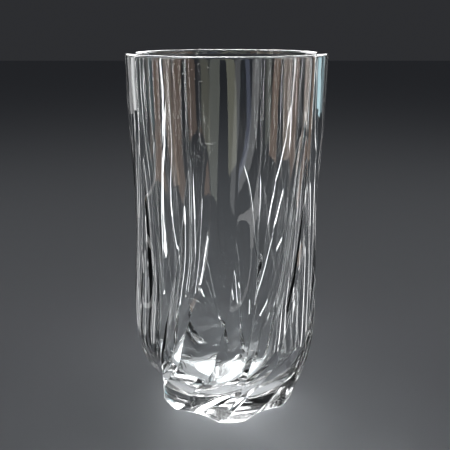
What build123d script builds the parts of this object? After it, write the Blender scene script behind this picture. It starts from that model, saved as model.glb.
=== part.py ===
"""Mixing glass: one heavy tumbler of clear pressed crystal with a swirl of flutes.

The outside is one wall of six plain lands, six wide flutes and six narrow ones,
which wind up it side by side and fade out below the rim. The inside is plain.
Millimetres, +Z up, the origin on the axis at the face the glass stands on.
"""
from build123d import *
import os
from math import cos, radians, sin, sqrt

# ---------------------------------------------------------------- overall size
HEIGHT = 150.0
RIM_RADIUS = 39.8
RIM_WALL = 4.4
BASE_THICKNESS = 10.5
LIP_ROUNDING = 1.0

# ------------------------------------------------------------------- the lands
# (height, radius) up the outside, where it is not cut by a flute
OUTSIDE_WALL = [(0, 28.8), (1.6, 30.4), (8, 32.6), (20, 36.9), (32, 39.4), (45, 40.1), (62, 39.6), (90, 38.9),
                (118, 39.3), (HEIGHT, RIM_RADIUS)]

# ------------------------------------------------------------------ the hollow
BOWL_TOP_HEIGHT = 34.5
BOWL_TOP_RADIUS = 32.4
BOWL_FLAT_RADIUS = 10.0
MOUTH_RADIUS = RIM_RADIUS - RIM_WALL
LIP_HEIGHT = HEIGHT - LIP_ROUNDING
INSIDE_WALL = [(BOWL_TOP_HEIGHT, BOWL_TOP_RADIUS), (80, 34.0), (LIP_HEIGHT, MOUTH_RADIUS)]

# ----------------------------------------------------------------- the rounding
# How far in from both faces the middle of a quarter round lies, as a share of its radius.
QUARTER_ROUND = 1 - sqrt(0.5)
# How far a rounding surface runs past the face that it leaves.
RUN_PAST = 0.05

# --------------------------------------------------------------- the underside
RECESS_RADIUS = 19.0
RECESS_DEPTH = 0.8

# ------------------------------------------------------------------ the flutes
FLUTE_COUNT = 6
FLUTE_PITCH = 360.0 / FLUTE_COUNT
# Each list holds (height, value). Angles are in degrees about +Z, counted from
# -Y towards +X; the swirl is the way they grow with height.
# The land is the uncut strip between its two edges.
LAND_LOW_EDGE = [(0, -5.0), (2, -3.0), (10, 7.0), (16, 14.0), (24, 23.0), (30, 30.0), (40, 34.5), (50, 38.0),
                 (63, 44.5), (82, 50.0), (98, 51.5), (112, 50.8), (120, 49.2), (127, 47.2), (150, 47.0)]
LAND_HIGH_EDGE = [(0, 9.5), (4, 21.0), (11, 32.0), (17, 37.0), (26, 48.0), (33, 53.0), (45, 57.0), (53, 60.0),
                  (74, 64.0), (100, 66.0), (150, 67.0)]
# The ridge where a wide flute meets the narrow one beside it.
SHARED_RIDGE = [(0, -8.0), (10, 3.0), (16, 9.0), (24, 12.0), (31, 14.5), (40, 18.5), (50, 22.5), (72, 30.5),
                (86, 34.0), (104, 37.5), (116, 41.0), (127, 45.7), (150, 45.5)]
# The valley along the bottom of a wide flute, above the height where it begins.
VALLEY = [(0, -14.0), (10, -2.0), (17, 5.0), (24, 8.5), (31, 11.3), (43, 14.3), (61, 17.6), (87, 18.5),
          (110, 22.0), (150, 30.0)]
VALLEY_BEGINS = 16.0
VALLEY_FULL = 34.0
# Depths below the lands: of the round scoop a wide flute starts as, of its valley, and of the ridge.
SCOOP_DEPTH = [(0, 3.6), (6, 4.2), (14, 4.6), (24, 4.5), (36, 4.0)]
VALLEY_DEPTH = [(0, 3.0), (43, 3.0), (61, 2.5), (87, 1.5), (105, 0.8), (118, 0.25), (128, 0.0)]
VALLEY_HOLLOWING = 0.25
RIDGE_DEPTH = [(0, 0.3), (12, 0.8), (22, 1.4), (36, 1.6), (50, 1.2), (70, 0.75), (90, 0.5), (110, 0.35),
               (120, 0.2), (128, 0.0)]
# A narrow flute has a round section of one radius, so its depth goes with its width squared.
NARROW_DEPTH_AT_PITCH_QUARTER = 1.05
# How many points draw each edge of the outline.
LAND_POINTS, LONG_SIDE_POINTS, SHORT_SIDE_POINTS, NARROW_POINTS = 4, 6, 4, 5
# Where the outline is drawn, from a little under the foot to a little over the rim.
STATION_HEIGHTS = [-2, 0, 2, 4.5, 7.5, 11, 15, 18, 21, 24, 27, 30, 34, 38, 43, 49, 57, 66, 76, 87, 97, 106,
                   114, 120, 125, 130, 136, 142, 148, 153]


def slopes(pairs):
    """The slopes of a smooth curve at its (height, value) pairs, with no overshoot between them."""
    steps = [(b[0] - a[0], (b[1] - a[1]) / (b[0] - a[0])) for a, b in zip(pairs, pairs[1:])]
    inner = []
    for (below, rise), (above, next_rise) in zip(steps, steps[1:]):
        weight = 2 * above + below
        next_weight = above + 2 * below
        same_way = rise * next_rise > 0
        inner.append((weight + next_weight) / (weight / rise + next_weight / next_rise) if same_way else 0.0)
    return [steps[0][1]] + inner + [steps[-1][1]]


def curve(pairs):
    """A smooth function of height through (height, value) pairs, level past the ends."""
    pair_slopes = slopes(pairs)

    def value(z):
        z = min(max(z, pairs[0][0]), pairs[-1][0])
        index = max(i for i, pair in enumerate(pairs[:-1]) if pair[0] <= z)
        (low_z, low_value), (high_z, high_value) = pairs[index], pairs[index + 1]
        span = high_z - low_z
        t = (z - low_z) / span
        rise = high_value - low_value
        bend_low = pair_slopes[index] * span - rise
        bend_high = rise - pair_slopes[index + 1] * span
        return low_value + rise * t + t * (1 - t) * (bend_low * (1 - t) + bend_high * t)

    return value


def wall_segments(pairs):
    """The same smooth curve as a chain of Bezier edges in a (radius, height) sketch."""
    for (low, high), (slope, next_slope) in zip(zip(pairs, pairs[1:]), zip(slopes(pairs), slopes(pairs)[1:])):
        third = (high[0] - low[0]) / 3
        Bezier(
            (low[1], low[0]),
            (low[1] + slope * third, low[0] + third),
            (high[1] - next_slope * third, high[0] - third),
            (high[1], high[0]),
        )


outside_radius = curve(OUTSIDE_WALL)
land_low = curve(LAND_LOW_EDGE)
land_high = curve(LAND_HIGH_EDGE)
shared_ridge = curve(SHARED_RIDGE)
valley = curve(VALLEY)
scoop_depth = curve(SCOOP_DEPTH)
valley_depth = curve(VALLEY_DEPTH)
ridge_depth = curve(RIDGE_DEPTH)


def at(angle, offset, z):
    """The point at an angle, so far outside the lands, at height z."""
    radius = outside_radius(z) + offset
    return Vector(radius * sin(radians(angle)), -radius * cos(radians(angle)), z)


def valley_share(z):
    """How far across the wide flute its valley lies, from the land's edge."""
    return (valley(z) + FLUTE_PITCH - land_high(z)) / (shared_ridge(z) + FLUTE_PITCH - land_high(z))


def wide_offset(share, z):
    """The wide flute's surface; share runs from 0 at the land to 1 at the shared ridge."""
    ridge = ridge_depth(z)
    deep = valley_depth(z)
    bottom = valley_share(z)
    scoop = -ridge * share - (scoop_depth(z) - ridge / 2) * 4 * share * (1 - share)
    part = share / bottom
    long_side = -deep * part - VALLEY_HOLLOWING * deep * 4 * part * (1 - part)
    short_side = -ridge - (deep - ridge) * (1 - share) / (1 - bottom)
    groove = long_side if share <= bottom else short_side
    t = min(max((z - VALLEY_BEGINS) / (VALLEY_FULL - VALLEY_BEGINS), 0.0), 1.0)
    blend = t * t * (3 - 2 * t)
    return scoop * (1 - blend) + groove * blend


def narrow_offset(share, z):
    """The narrow flute's surface; share runs from 0 at the shared ridge to 1 at the land."""
    width = land_low(z) - shared_ridge(z)
    depth = NARROW_DEPTH_AT_PITCH_QUARTER * (width / (FLUTE_PITCH / 4)) ** 2
    return -ridge_depth(z) * (1 - share) - depth * 4 * share * (1 - share)


def spread(start, end, count):
    """Evenly spaced values from start to end."""
    return [start + (end - start) * index / (count - 1) for index in range(count)]


def outside_section(z):
    """The closed outline of the outside at height z: four edges to a pitch."""
    low = land_low(z)
    high = land_high(z)
    ridge = shared_ridge(z)
    bottom = valley_share(z)
    wide_width = ridge + FLUTE_PITCH - high
    edges = []
    for index in range(FLUTE_COUNT):
        turn = index * FLUTE_PITCH
        wide_start = turn + high
        narrow_start = turn + FLUTE_PITCH + ridge
        land = [at(turn + angle, 0.0, z) for angle in spread(low, high, LAND_POINTS)]
        long_side = [at(wide_start + share * wide_width, wide_offset(share, z), z)
                     for share in spread(0.0, bottom, LONG_SIDE_POINTS)]
        short_side = [at(wide_start + share * wide_width, wide_offset(share, z), z)
                      for share in spread(bottom, 1.0, SHORT_SIDE_POINTS)]
        narrow = [at(narrow_start + share * (low - ridge), narrow_offset(share, z), z)
                  for share in spread(0.0, 1.0, NARROW_POINTS)]
        edges += [Edge.make_spline(points) for points in (land, long_side, short_side, narrow)]
    return Wire(edges)


def turned(build_profile):
    """The solid that a (radius, height) profile makes when it turns about the axis."""
    with BuildPart() as solid:
        with BuildSketch(Plane.XZ):
            with BuildLine():
                build_profile()
            make_face()
        revolve(axis=Axis.Z)
    return solid.part


def hollow_profile():
    """The drink's space, with the inner half of the rounded lip, and open above."""
    Line((0, BASE_THICKNESS), (BOWL_FLAT_RADIUS, BASE_THICKNESS))
    EllipticalCenterArc(
        (BOWL_FLAT_RADIUS, BOWL_TOP_HEIGHT),
        BOWL_TOP_RADIUS - BOWL_FLAT_RADIUS,
        BOWL_TOP_HEIGHT - BASE_THICKNESS,
        start_angle=270,
        arc_size=90,
    )
    wall_segments(INSIDE_WALL)
    middle = (MOUTH_RADIUS + QUARTER_ROUND * LIP_ROUNDING, HEIGHT - QUARTER_ROUND * LIP_ROUNDING)
    end = (MOUTH_RADIUS + LIP_ROUNDING, HEIGHT + RUN_PAST)
    ThreePointArc((MOUTH_RADIUS, LIP_HEIGHT), middle, end)
    Polyline(end, (end[0], HEIGHT + RIM_WALL), (0, HEIGHT + RIM_WALL), (0, BASE_THICKNESS))


def lip_profile():
    """What rounding takes off the outer edge of the lip."""
    start = (RIM_RADIUS + RUN_PAST, LIP_HEIGHT)
    middle = (RIM_RADIUS - QUARTER_ROUND * LIP_ROUNDING, HEIGHT - QUARTER_ROUND * LIP_ROUNDING)
    end = (RIM_RADIUS - LIP_ROUNDING, HEIGHT + RUN_PAST)
    ThreePointArc(start, middle, end)
    clear_of_rim = RIM_RADIUS + RIM_WALL
    clear_of_top = HEIGHT + RIM_WALL
    Polyline(end, (end[0], clear_of_top), (clear_of_rim, clear_of_top), (clear_of_rim, LIP_HEIGHT), start)


# --------------------------------------------------------------------- modelling
wall = Solid.make_loft([outside_section(z) for z in STATION_HEIGHTS])
between_foot_and_rim = Pos(0, 0, HEIGHT / 2) * Cylinder(2 * RIM_RADIUS, HEIGHT)
recess_sphere_radius = (RECESS_RADIUS**2 + RECESS_DEPTH**2) / (2 * RECESS_DEPTH)
recess = Pos(0, 0, RECESS_DEPTH - recess_sphere_radius) * Sphere(recess_sphere_radius)
glass = (wall & between_foot_and_rim) - turned(hollow_profile) - turned(lip_profile) - recess

os.makedirs("parts", exist_ok=True)
export_step(glass, "parts/glass_body.step")
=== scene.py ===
import math

import bpy
import numpy as np
from mathutils import Euler, Matrix


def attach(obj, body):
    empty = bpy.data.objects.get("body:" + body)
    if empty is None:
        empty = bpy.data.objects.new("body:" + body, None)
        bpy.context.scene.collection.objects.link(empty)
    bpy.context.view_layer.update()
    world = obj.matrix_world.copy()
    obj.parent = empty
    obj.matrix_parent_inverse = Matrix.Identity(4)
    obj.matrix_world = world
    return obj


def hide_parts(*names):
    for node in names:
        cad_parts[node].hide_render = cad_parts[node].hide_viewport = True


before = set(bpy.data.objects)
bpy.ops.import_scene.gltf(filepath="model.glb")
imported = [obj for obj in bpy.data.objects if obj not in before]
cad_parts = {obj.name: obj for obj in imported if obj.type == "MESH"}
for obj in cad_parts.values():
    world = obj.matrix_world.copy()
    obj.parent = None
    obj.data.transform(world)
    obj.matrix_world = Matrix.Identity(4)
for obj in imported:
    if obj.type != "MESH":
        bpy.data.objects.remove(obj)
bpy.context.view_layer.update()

MM = 0.001

# ------------------------------------------------------------------ the glass
# Millimetres and degrees, as the CAD part has them. Each list holds (height, value).
HEIGHT = 150.0
RIM_RADIUS = 39.8
RIM_WALL = 4.4
MOUTH_RADIUS = RIM_RADIUS - RIM_WALL
LIP_ROUNDING = 1.0
LIP_HEIGHT = HEIGHT - LIP_ROUNDING
BASE_THICKNESS = 10.5
FOOT_ROUNDING = 1.3
RECESS_RADIUS, RECESS_DEPTH = 19.0, 0.8
BOWL_TOP_HEIGHT, BOWL_TOP_RADIUS, BOWL_FLAT_RADIUS = 34.5, 32.4, 10.0
FLUTE_COUNT = 6
PITCH = 360.0 / FLUTE_COUNT
OUTSIDE_WALL = [(0, 28.8), (1.6, 30.4), (8, 32.6), (20, 36.9), (32, 39.4), (45, 40.1), (62, 39.6), (90, 38.9),
                (118, 39.3), (150, 39.8)]
INSIDE_WALL = [(BOWL_TOP_HEIGHT, BOWL_TOP_RADIUS), (80, 34.0), (LIP_HEIGHT, MOUTH_RADIUS)]
LAND_LOW_EDGE = [(0, -5.0), (2, -3.0), (10, 7.0), (16, 14.0), (24, 23.0), (30, 30.0), (40, 34.5), (50, 38.0),
                 (63, 44.5), (82, 50.0), (98, 51.5), (112, 50.8), (120, 49.2), (127, 47.2), (150, 47.0)]
LAND_HIGH_EDGE = [(0, 9.5), (4, 21.0), (11, 32.0), (17, 37.0), (26, 48.0), (33, 53.0), (45, 57.0), (53, 60.0),
                  (74, 64.0), (100, 66.0), (150, 67.0)]
SHARED_RIDGE = [(0, -8.0), (10, 3.0), (16, 9.0), (24, 12.0), (31, 14.5), (40, 18.5), (50, 22.5), (72, 30.5),
                (86, 34.0), (104, 37.5), (116, 41.0), (127, 45.7), (150, 45.5)]
VALLEY = [(0, -14.0), (10, -2.0), (17, 5.0), (24, 8.5), (31, 11.3), (43, 14.3), (61, 17.6), (87, 18.5),
          (110, 22.0), (150, 30.0)]
VALLEY_BEGINS, VALLEY_FULL = 16.0, 34.0
SCOOP_DEPTH = [(0, 3.6), (6, 4.2), (14, 4.6), (24, 4.5), (36, 4.0)]
VALLEY_DEPTH = [(0, 3.0), (43, 3.0), (61, 2.5), (87, 1.5), (105, 0.8), (118, 0.25), (128, 0.0)]
VALLEY_HOLLOWING = 0.25
RIDGE_DEPTH = [(0, 0.3), (12, 0.8), (22, 1.4), (36, 1.6), (50, 1.2), (70, 0.75), (90, 0.5), (110, 0.35),
               (120, 0.2), (128, 0.0)]
NARROW_DEPTH_AT_PITCH_QUARTER = 1.05
# Half the width, in degrees, over which the fire-polished edge of a flute turns.
EDGE_TURN = [(0, 0.9), (20, 0.7), (50, 0.4), (150, 0.35)]
EDGE_SAMPLES, EDGE_FALL = 9, 0.85
# The pressed walls' unevenness: how far it goes, the heights over which it fades out, and its waves.
INNER_RIPPLE, OUTER_RIPPLE = 0.07, 0.045
INNER_SEED, OUTER_SEED = 11, 5
FOOT_FADE, LIP_FADE = 6.0, 10.0
WAVE_COUNT, MOST_TURNS, MOST_RISE, PHASE_RANGE, WAVE_SHARE = 9, 8, 0.10, 6.28, 0.25

# Columns of the mesh across each band, away from its edges: land, long side, short side, narrow flute.
BAND_COLUMNS = (8, 18, 8, 12)
EDGE_STEPS = (0.0, 0.33, 0.67, 1.0)
# Rings of the mesh: radii under the foot, shares of the flat stretches, counts round the edges and bowl.
RECESS_RINGS = (4.0, 8.0, 12.0, 16.0, RECESS_RADIUS)
STANDING_SHARES = (0.15, 0.5, 0.85)
RIM_SHARES = (0.33, 0.67)
FLOOR_SHARES = (0.8, 0.6, 0.4, 0.2)
EDGE_RINGS, BOWL_RINGS, INSIDE_RINGS = 9, 60, 110
# From and to which height, and how many rings with both ends, of which the first is already there.
OUTSIDE_RINGS = [(FOOT_ROUNDING, 40, 110), (40, 135, 170), (135, LIP_HEIGHT, 12)]


def smooth_curve(pairs):
    """A monotone cubic through (height, value) pairs, level past the ends."""
    x = np.array([p[0] for p in pairs], float)
    y = np.array([p[1] for p in pairs], float)
    h = np.diff(x)
    d = np.diff(y) / h
    m = np.zeros_like(x)
    for i in range(1, len(x) - 1):
        if d[i - 1] * d[i] > 0:
            w1 = 2 * h[i] + h[i - 1]
            w2 = h[i] + 2 * h[i - 1]
            m[i] = (w1 + w2) / (w1 / d[i - 1] + w2 / d[i])
    m[0] = d[0]
    m[-1] = d[-1]

    def value(z):
        z = np.clip(np.asarray(z, float), x[0], x[-1])
        i = np.clip(np.searchsorted(x, z, side="right") - 1, 0, len(h) - 1)
        t = (z - x[i]) / h[i]
        return ((2 * t**3 - 3 * t**2 + 1) * y[i] + (t**3 - 2 * t**2 + t) * h[i] * m[i]
                + (3 * t**2 - 2 * t**3) * y[i + 1] + (t**3 - t**2) * h[i] * m[i + 1])

    return value


outside_radius = smooth_curve(OUTSIDE_WALL)
inside_radius = smooth_curve(INSIDE_WALL)
land_low = smooth_curve(LAND_LOW_EDGE)
land_high = smooth_curve(LAND_HIGH_EDGE)
shared_ridge = smooth_curve(SHARED_RIDGE)
valley = smooth_curve(VALLEY)
scoop_depth = smooth_curve(SCOOP_DEPTH)
valley_depth = smooth_curve(VALLEY_DEPTH)
ridge_depth = smooth_curve(RIDGE_DEPTH)
edge_turn = smooth_curve(EDGE_TURN)


def sharp_offset(angle, z):
    """How far the fluted wall stands from the lands, never outside them, at angles and heights."""
    low, high, ridge = land_low(z), land_high(z), shared_ridge(z)
    deep, ridge_deep = valley_depth(z), ridge_depth(z)
    wide_width = ridge + PITCH - high
    narrow_width = low - ridge
    turn = np.mod(angle - high, PITCH)
    share = turn / wide_width
    scoop = -ridge_deep * share - (scoop_depth(z) - ridge_deep / 2) * 4 * share * (1 - share)
    bottom = (valley(z) + PITCH - high) / wide_width
    part = share / bottom
    long_side = -deep * part - VALLEY_HOLLOWING * deep * 4 * part * (1 - part)
    short_side = -ridge_deep - (deep - ridge_deep) * (1 - share) / (1 - bottom)
    t = np.clip((z - VALLEY_BEGINS) / (VALLEY_FULL - VALLEY_BEGINS), 0, 1)
    blend = t * t * (3 - 2 * t)
    wide = scoop * (1 - blend) + np.where(share <= bottom, long_side, short_side) * blend
    share = (turn - wide_width) / narrow_width
    depth = NARROW_DEPTH_AT_PITCH_QUARTER * (narrow_width / (PITCH / 4)) ** 2
    narrow = -ridge_deep * (1 - share) - depth * 4 * share * (1 - share)
    cut = np.where(turn < wide_width, wide, narrow)
    return np.where(turn < wide_width + narrow_width, cut, 0.0)


def flute_offset(angle, z):
    """The same wall with the edges of its flutes rounded."""
    reach = np.minimum(edge_turn(z), (land_low(z) - shared_ridge(z)) / 4)
    steps = np.linspace(-1, 1, EDGE_SAMPLES)
    weights = 1 - EDGE_FALL * np.abs(steps)
    total = sum(w * sharp_offset(angle + step * reach, z) for step, w in zip(steps, weights))
    return total / weights.sum()


def column_angles(z):
    """The angles of the mesh's columns at heights z: closest together at the edges that they follow."""
    low, high = land_low(z), land_high(z)
    edges = [low, high, valley(z) + PITCH, shared_ridge(z) + PITCH, low + PITCH]
    reach = edge_turn(z)
    angles = []
    for start, end, inner in zip(edges, edges[1:], BAND_COLUMNS):
        step = np.minimum(reach, (end - start) / 4)
        angles += [start + step * t for t in EDGE_STEPS]
        angles += [start + step + (end - start - 2 * step) * i / (inner + 1) for i in range(1, inner + 1)]
        angles += [end - step * t for t in reversed(EDGE_STEPS[1:])]
    return np.concatenate([np.stack(angles, axis=-1) + PITCH * i for i in range(FLUTE_COUNT)], axis=-1)


def ripple(angle, z, seed):
    """The faint unevenness that pressing leaves, between about -1 and 1."""
    rng = np.random.default_rng(seed)
    total = np.zeros(np.broadcast(angle, z).shape)
    for _ in range(WAVE_COUNT):
        turns = rng.integers(1, MOST_TURNS + 1)
        rise = rng.uniform(-MOST_RISE, MOST_RISE)
        phase = rng.uniform(0, PHASE_RANGE)
        total = total + np.sin(np.radians(angle) * turns + z * rise + phase) * WAVE_SHARE
    return total


def quarter(count):
    """Sines and cosines over a quarter turn."""
    a = np.linspace(0, math.pi / 2, count)
    return zip(np.sin(a), np.cos(a))


def wall_rings():
    """The wall as rings of (angles, radii, heights): from under the foot, up, over and down to its floor."""
    rings = []

    def add(angles, radii, height):
        shape = angles.shape
        rings.append((angles, np.broadcast_to(radii, shape), np.broadcast_to(height, shape)))

    foot_angles = column_angles(0.0)
    for r in RECESS_RINGS:
        add(foot_angles, r, RECESS_DEPTH * (1 - (r / RECESS_RADIUS) ** 2))
    foot = outside_radius(FOOT_ROUNDING) + flute_offset(foot_angles, FOOT_ROUNDING) - FOOT_ROUNDING
    for t in STANDING_SHARES:
        add(foot_angles, RECESS_RADIUS + (foot - RECESS_RADIUS) * t, 0.0)
    for sine, cosine in quarter(EDGE_RINGS):
        z = FOOT_ROUNDING * (1 - cosine)
        angles = column_angles(z)
        body = outside_radius(z) + flute_offset(angles, z)
        add(angles, body - FOOT_ROUNDING * (1 - sine), z)
    for z in np.concatenate([np.linspace(*stretch)[1:] for stretch in OUTSIDE_RINGS]):
        angles = column_angles(z)
        fade = min(1.0, (z - FOOT_ROUNDING) / FOOT_FADE, (LIP_HEIGHT - z) / LIP_FADE)
        uneven = OUTER_RIPPLE * fade * (ripple(angles, z, OUTER_SEED) - 1.0)
        add(angles, outside_radius(z) + flute_offset(angles, z) + uneven, z)
    top_angles = column_angles(LIP_HEIGHT)
    for sine, cosine in list(quarter(EDGE_RINGS))[1:]:
        add(top_angles, RIM_RADIUS - LIP_ROUNDING * (1 - cosine), LIP_HEIGHT + LIP_ROUNDING * sine)
    for t in RIM_SHARES:
        add(top_angles, RIM_RADIUS - LIP_ROUNDING - t * (RIM_WALL - 2 * LIP_ROUNDING), HEIGHT)
    for sine, cosine in quarter(EDGE_RINGS):
        add(top_angles, MOUTH_RADIUS + LIP_ROUNDING * (1 - sine), LIP_HEIGHT + LIP_ROUNDING * cosine)
    for z in np.linspace(LIP_HEIGHT, BOWL_TOP_HEIGHT, INSIDE_RINGS)[1:]:
        fade = min(1.0, (LIP_HEIGHT - z) / LIP_FADE)
        add(top_angles, inside_radius(z) + INNER_RIPPLE * fade * ripple(top_angles, z, INNER_SEED), z)
    for sine, cosine in list(quarter(BOWL_RINGS))[1:]:
        z = BOWL_TOP_HEIGHT - (BOWL_TOP_HEIGHT - BASE_THICKNESS) * sine
        r = BOWL_FLAT_RADIUS + (BOWL_TOP_RADIUS - BOWL_FLAT_RADIUS) * cosine
        add(top_angles, r + INNER_RIPPLE * cosine * ripple(top_angles, z, INNER_SEED), z)
    for t in FLOOR_SHARES:
        add(top_angles, BOWL_FLAT_RADIUS * t, BASE_THICKNESS)
    return rings


def make_glass():
    """The glass as one closed mesh: a fan under the foot, rows between the rings, and a fan on its floor."""
    layers = []
    for angles, radii, heights in wall_rings():
        a = np.radians(angles)
        layers.append(np.stack([radii * np.sin(a), -radii * np.cos(a), heights], axis=1))
    n = len(layers[0])
    under = np.array([[0, 0, RECESS_DEPTH]])
    floor = np.array([[0, 0, BASE_THICKNESS]])
    verts = np.concatenate([under] + layers + [floor]) * MM
    j = np.arange(n)
    k = (j + 1) % n
    last = 1 + (len(layers) - 1) * n
    rows = [np.stack([a + j, a + k, a + n + k, a + n + j], axis=1) for a in range(1, last, n)]
    end = len(verts) - 1
    centre_fans = np.concatenate([np.stack([np.zeros(n, int), 1 + k, 1 + j], axis=1),
                                  np.stack([np.full(n, end), last + j, last + k], axis=1)])
    mesh = bpy.data.meshes.new("glass_shell")
    mesh.from_pydata(verts.tolist(), [], np.concatenate(rows).tolist() + centre_fans.tolist())
    mesh.validate()
    mesh.update()
    mesh.polygons.foreach_set("use_smooth", np.ones(len(mesh.polygons), bool))
    obj = bpy.data.objects.new("glass_shell", mesh)
    bpy.context.scene.collection.objects.link(obj)
    return obj


# ---------------------------------------------------------------- its material
TINT = (0.972, 0.988, 0.992, 1)
IOR = 1.52
# Thin smears of handling, as patches of a noise.
SMEAR_SCALE, SMEAR_FROM, SMEAR_TO, SMEAR_ROUGHNESS = 55.0, 0.56, 0.74, 0.05
# Dried specks: cells where a slower noise gathers them, most of them high up and towards -X.
SPECK_SCALE, SPECK_SIZE, SPECK_ROUGHNESS = 420.0, 0.16, 0.6
CLUSTER_SCALE, CLUSTER_FROM, CLUSTER_TO = 38.0, 0.50, 0.70
UPPER_FROM, UPPER_TO, UPPER_LEAST = 0.085, 0.125, 0.25
LEFT_FROM, LEFT_TO, LEFT_LEAST = -0.030, 0.010, 0.35
# Fine wear on the face that it stands on.
WEAR_SCALE, WEAR_FROM, WEAR_TO, WEAR_ROUGHNESS = 900.0, 0.0002, 0.0010, 0.30
SCUFF_FROM, SCUFF_TO, SCUFF_LEAST = 0.35, 0.65, 0.2


def node(tree, kind, **settings):
    """A new shader node, with its settings and the values of its unlinked inputs."""
    new = tree.nodes.new(kind)
    for name, value in settings.items():
        if name in new.inputs:
            new.inputs[name].default_value = value
        else:
            setattr(new, name, value)
    return new


def texture(tree, kind, place, output, **settings):
    """The output of a texture node that is laid out in the object's own space."""
    new = node(tree, kind, **settings)
    tree.links.new(place, new.inputs["Vector"])
    return new.outputs[output]


def remapped(tree, source, low, high, to_low, to_high):
    """A value carried from one range smoothly to another."""
    remap = node(tree, "ShaderNodeMapRange", interpolation_type="SMOOTHSTEP")
    tree.links.new(source, remap.inputs["Value"])
    for name, value in (("From Min", low), ("From Max", high), ("To Min", to_low), ("To Max", to_high)):
        remap.inputs[name].default_value = value
    return remap.outputs["Result"]


def maths(tree, operation, first, second):
    """Two values combined."""
    new = node(tree, "ShaderNodeMath", operation=operation)
    for socket, value in zip(new.inputs, (first, second)):
        if isinstance(value, (int, float)):
            socket.default_value = value
        else:
            tree.links.new(value, socket)
    return new.outputs["Value"]


def smear_roughness(tree, place):
    """Roughness in the smears, nothing between them."""
    noise = texture(tree, "ShaderNodeTexNoise", place, "Fac",
                    Scale=SMEAR_SCALE, Detail=5.0, Roughness=0.6, Distortion=1.5)
    return remapped(tree, noise, SMEAR_FROM, SMEAR_TO, 0.0, SMEAR_ROUGHNESS)


def speck_roughness(tree, place, axes):
    """Roughness in the specks, nothing between them."""
    cells = texture(tree, "ShaderNodeTexVoronoi", place, "Distance", Scale=SPECK_SCALE, Randomness=1.0)
    cluster = texture(tree, "ShaderNodeTexNoise", place, "Fac", Scale=CLUSTER_SCALE, Detail=2.0)
    size = remapped(tree, cluster, CLUSTER_FROM, CLUSTER_TO, 0.0, SPECK_SIZE)
    upper = remapped(tree, axes.outputs["Z"], UPPER_FROM, UPPER_TO, UPPER_LEAST, 1.0)
    left = remapped(tree, axes.outputs["X"], LEFT_FROM, LEFT_TO, 1.0, LEFT_LEAST)
    size = maths(tree, "MULTIPLY", size, maths(tree, "MULTIPLY", upper, left))
    return maths(tree, "MULTIPLY", maths(tree, "LESS_THAN", cells, size), SPECK_ROUGHNESS)


def wear_roughness(tree, place, axes):
    """Roughness that fades out upwards, just above the standing face."""
    scuff = texture(tree, "ShaderNodeTexNoise", place, "Fac", Scale=WEAR_SCALE, Detail=3.0)
    low_down = remapped(tree, axes.outputs["Z"], WEAR_FROM, WEAR_TO, WEAR_ROUGHNESS, 0.0)
    return maths(tree, "MULTIPLY", low_down, remapped(tree, scuff, SCUFF_FROM, SCUFF_TO, SCUFF_LEAST, 1.0))


def glass_material():
    """Clear pressed crystal: thin smears, dried specks high on one side, and fine wear where it stands."""
    mat = bpy.data.materials.new("clear_pressed_glass")
    mat.use_nodes = True
    tree = mat.node_tree
    bsdf = tree.nodes["Principled BSDF"]
    bsdf.inputs["Base Color"].default_value = TINT
    bsdf.inputs["Transmission Weight"].default_value = 1.0
    bsdf.inputs["IOR"].default_value = IOR
    place = node(tree, "ShaderNodeTexCoord").outputs["Object"]
    axes = node(tree, "ShaderNodeSeparateXYZ")
    tree.links.new(place, axes.inputs["Vector"])
    rough = maths(tree, "MAXIMUM", smear_roughness(tree, place), speck_roughness(tree, place, axes))
    rough = maths(tree, "MAXIMUM", rough, wear_roughness(tree, place, axes))
    tree.links.new(rough, bsdf.inputs["Roughness"])
    return mat


glass = make_glass()
glass.data.materials.append(glass_material())
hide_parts("glass_body")
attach(glass, "root")


# ------------------------------------------------------------------- the stage
FLOOR_REACH = 3.0
FLOOR_HEIGHT = -0.00015
FLOOR_COLOUR = (0.53, 0.55, 0.58)
FLOOR_ROUGHNESS = 0.6
WORLD_COLOUR = (0.026, 0.027, 0.030, 1)


def plain_material(name, colour, rough):
    """A material for the stage, of one colour."""
    mat = bpy.data.materials.new(name)
    mat.use_nodes = True
    bsdf = mat.node_tree.nodes["Principled BSDF"]
    bsdf.inputs["Base Color"].default_value = (*colour, 1)
    bsdf.inputs["Roughness"].default_value = rough
    return mat


def make_floor():
    """A wide square floor, just clear of the foot."""
    mesh = bpy.data.meshes.new("floor")
    signs = ((-1, -1), (1, -1), (1, 1), (-1, 1))
    mesh.from_pydata([(x * FLOOR_REACH, y * FLOOR_REACH, FLOOR_HEIGHT) for x, y in signs], [], [(0, 1, 2, 3)])
    mesh.materials.append(plain_material("pale_floor", FLOOR_COLOUR, FLOOR_ROUGHNESS))
    obj = bpy.data.objects.new("floor", mesh)
    bpy.context.scene.collection.objects.link(obj)
    return obj


def make_world():
    """The dim grey that surrounds the stage."""
    world = bpy.data.worlds.new("studio")
    bpy.context.scene.world = world
    world.use_nodes = True
    background = world.node_tree.nodes["Background"]
    background.inputs["Color"].default_value = WORLD_COLOUR
    background.inputs["Strength"].default_value = 1.0


floor = make_floor()
make_world()

# ------------------------------------------------------------------ the lights
# The pale floor is lit dimly, so that the glass shows by its bright edges. Most lights reach the glass
# alone and leave the floor plain. Places and sizes are in metres, and radiance is what a light looks like.
WHITE, GREY, GREEN, OLIVE = (1, 1, 1), (0.90, 0.92, 0.92), (0.85, 0.90, 0.76), (0.95, 0.95, 0.70)
WARM, BROWN, BLUE, TEAL = (1.0, 0.80, 0.64), (1.0, 0.68, 0.48), (0.62, 0.70, 1.0), (0.65, 0.92, 1.0)
AIM_HEIGHT = 0.09


def around(azimuth, distance, height):
    """A place at an azimuth in degrees, 0 at the camera's side and 90 to the right."""
    a = math.radians(azimuth)
    return distance * math.sin(a), -distance * math.cos(a), height


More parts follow.
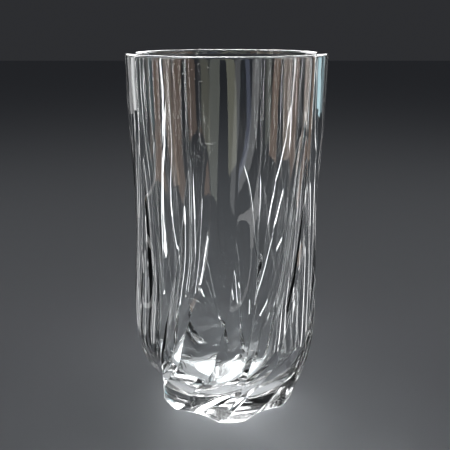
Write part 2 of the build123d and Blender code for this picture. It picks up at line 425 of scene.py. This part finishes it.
# name, place, size, radiance: for the floor, and not shown by the glass
SIDE_BOXES = [("left_box", around(-95, 0.62, 0.44), (0.26, 0.44), 0.6),
              ("right_box", around(95, 0.62, 0.44), (0.26, 0.44), 0.6)]
TOP_SOFT = ("top_soft", (0.05, 0.10, 0.80), (0.24, 0.24), 2.5)
# name, place, size, radiance, colour: for the glass
GLASS_BOXES = [
    ("overhead", (-0.10, 0.25, 0.75), (0.40, 0.26), 20.0, WHITE),
    ("back_left_box", around(-138, 0.80, 0.30), (0.14, 0.60), 0.9, WHITE),
    ("back_right_box", around(136, 0.80, 0.30), (0.14, 0.60), 0.9, TEAL),
    ("back_wide", (0.0, 1.00, 0.60), (1.40, 0.60), 4.5, WHITE),
    ("rim_card", (0.0, 0.88, 0.46), (0.40, 0.10), 14.0, WHITE),
]
# Cards that the rim reflects.
RIM_CARD_AZIMUTHS = (-150, -125, 125, 150)
RIM_CARD_DISTANCE, RIM_CARD_HEIGHT, RIM_CARD_SIZE, RIM_CARD_RADIANCE = 0.88, 0.46, (0.34, 0.12), 9.0
# name, place, width, radiance: the light that the glass gathers on the floor under itself
UNDER_GLOWS = [("under_glow_wide", (0.0, 0.0, -0.00006), 0.056, 0.25),
               ("under_glow_spot", (-0.004, 0.006, -0.00004), 0.026, 1.0)]
# Tall narrow lights all round, which draw the flutes' edges.
STRIP_AZIMUTHS = (-166, -153, -131, -118, -101, -86, -74, -64, -44, 40, 62, 72, 82, 97, 112, 128, 152, 165)
STRIP_DISTANCE, STRIP_WIDTH, STRIP_HEIGHT = 0.75, 0.007, 0.42
STRIP_RADIANCE, REAR_STRIP_RADIANCE, REAR_AZIMUTH = 14.0, 1.6, 120
FLOOR_STRIP_HEIGHT = 0.002
# name, start and end from the axis, width, radiance
FLOOR_STRIPS = [("floor_strip_far", 0.24, 0.74, 0.007, 2.5), ("floor_strip_near", 0.08, 0.24, 0.003, 2.0)]
# Tinted cards round the camera, which give the glass a room to reflect.
FRONT_CARD_DISTANCE, FRONT_CARD_TOP = 0.34, 0.30
# azimuth, width, bottom, lean in degrees, radiance, colour
FRONT_CARDS = [
    (-92, 0.030, 0.03, 6, 0.9, WARM), (-78, 0.050, 0.00, -7, 1.5, BROWN), (-64, 0.060, 0.01, 5, 2.0, WARM),
    (-51, 0.060, 0.00, -9, 1.5, BROWN), (-38, 0.050, 0.05, 8, 1.2, BROWN), (-24, 0.050, 0.05, 8, 1.2, OLIVE),
    (-11, 0.060, 0.01, -10, 1.6, GREEN), (2, 0.050, 0.03, 12, 2.0, OLIVE), (12, 0.030, 0.00, -12, 1.4, GREY),
    (20, 0.026, 0.00, 12, 1.4, BLUE), (31, 0.050, 0.01, -8, 1.9, GREY), (43, 0.040, 0.04, 7, 1.3, GREEN),
    (54, 0.050, 0.02, -6, 1.9, BROWN), (66, 0.060, 0.03, 8, 2.3, WARM), (79, 0.050, 0.00, -5, 1.6, BROWN),
    (94, 0.050, 0.01, 6, 1.8, WARM), (108, 0.030, 0.04, -7, 1.2, BROWN),
]

glass_only = bpy.data.collections.new("glass_only")
glass_only.objects.link(glass)


def area_light(name, place, size, radiance, colour=WHITE, aim_height=AIM_HEIGHT):
    """A soft rectangular light, turned to the axis at aim_height."""
    light = bpy.data.lights.new(name, "AREA")
    light.shape = "RECTANGLE"
    light.size, light.size_y = size
    light.energy = radiance * math.pi * size[0] * size[1]
    light.color = colour
    obj = bpy.data.objects.new(name, light)
    bpy.context.scene.collection.objects.link(obj)
    obj.location = place
    x, y, z = place
    tilt = math.atan2(math.hypot(x, y), z - aim_height)
    obj.rotation_euler = Euler((tilt, 0, math.atan2(-y, -x) - math.pi / 2))
    return obj


def glass_light(*args, **settings):
    """An area light that only the glass shows, so that the floor stays plain."""
    obj = area_light(*args, **settings)
    obj.light_linking.receiver_collection = glass_only
    return obj


def floor_lights():
    """Soft light from both sides, which the glass doesn't show, and from above."""
    for settings in SIDE_BOXES:
        box = area_light(*settings)
        box.visible_glossy = False
        box.visible_transmission = False
    area_light(*TOP_SOFT)


def rim_cards():
    """Cards behind the glass to both sides, for its rim to reflect."""
    for azimuth in RIM_CARD_AZIMUTHS:
        card = glass_light("rim_card_%d" % azimuth, around(azimuth, RIM_CARD_DISTANCE, RIM_CARD_HEIGHT),
                           RIM_CARD_SIZE, RIM_CARD_RADIANCE)
        card.visible_transmission = False


def under_glows():
    """Round lights between the foot and the floor, facing up."""
    for name, place, width, radiance in UNDER_GLOWS:
        glow = glass_light(name, place, (width, width), radiance)
        glow.data.shape = "DISK"
        glow.rotation_euler = Euler((math.pi, 0, 0))


def strip_set(azimuth):
    """A tall narrow light, and two along the floor that carry it in to the glass."""
    radiance = STRIP_RADIANCE if abs(azimuth) < REAR_AZIMUTH else REAR_STRIP_RADIANCE
    glass_light("strip_%d" % azimuth, around(azimuth, STRIP_DISTANCE, STRIP_HEIGHT / 2),
                (STRIP_WIDTH, STRIP_HEIGHT), radiance, aim_height=STRIP_HEIGHT / 2)
    for name, start, end, width, radiance in FLOOR_STRIPS:
        place = around(azimuth, (start + end) / 2, FLOOR_STRIP_HEIGHT)
        low = glass_light("%s_%d" % (name, azimuth), place, (width, end - start), radiance)
        low.rotation_euler = Euler((math.pi, 0, math.radians(azimuth)))


def front_cards():
    """Tinted cards, each leaning a little, that the glass reflects and doesn't show through its wall."""
    for azimuth, width, bottom, lean, radiance, colour in FRONT_CARDS:
        middle = (FRONT_CARD_TOP + bottom) / 2
        card = glass_light("front_card_%d" % azimuth, around(azimuth, FRONT_CARD_DISTANCE, middle),
                           (width, FRONT_CARD_TOP - bottom), radiance, colour, middle)
        turned = card.rotation_euler.to_matrix() @ Matrix.Rotation(math.radians(lean), 3, "Z")
        card.rotation_euler = turned.to_euler()
        card.visible_transmission = False


floor_lights()
for settings in GLASS_BOXES:
    glass_light(*settings)
rim_cards()
under_glows()
for azimuth in STRIP_AZIMUTHS:
    strip_set(azimuth)
front_cards()
bpy.context.scene.view_settings.view_transform = "Standard"

# ------------------------------------------------------------------ the camera
SENSOR_WIDTH = 36.0
FOCAL_LENGTH = 50.8
SHIFT_IN_WIDTHS = -1 / 300
CLIP_START = 0.01
CAMERA_PLACE = (0, -0.2594, 0.1595)
LOOKS_DOWN = 17.31

camera_data = bpy.data.cameras.new("camera")
camera_data.sensor_width = SENSOR_WIDTH
camera_data.lens = FOCAL_LENGTH
camera_data.shift_x = SHIFT_IN_WIDTHS
camera_data.clip_start = CLIP_START
camera = bpy.data.objects.new("camera", camera_data)
bpy.context.scene.collection.objects.link(camera)
camera.location = CAMERA_PLACE
camera.rotation_euler = (math.radians(90 - LOOKS_DOWN), 0, 0)
bpy.context.scene.camera = camera
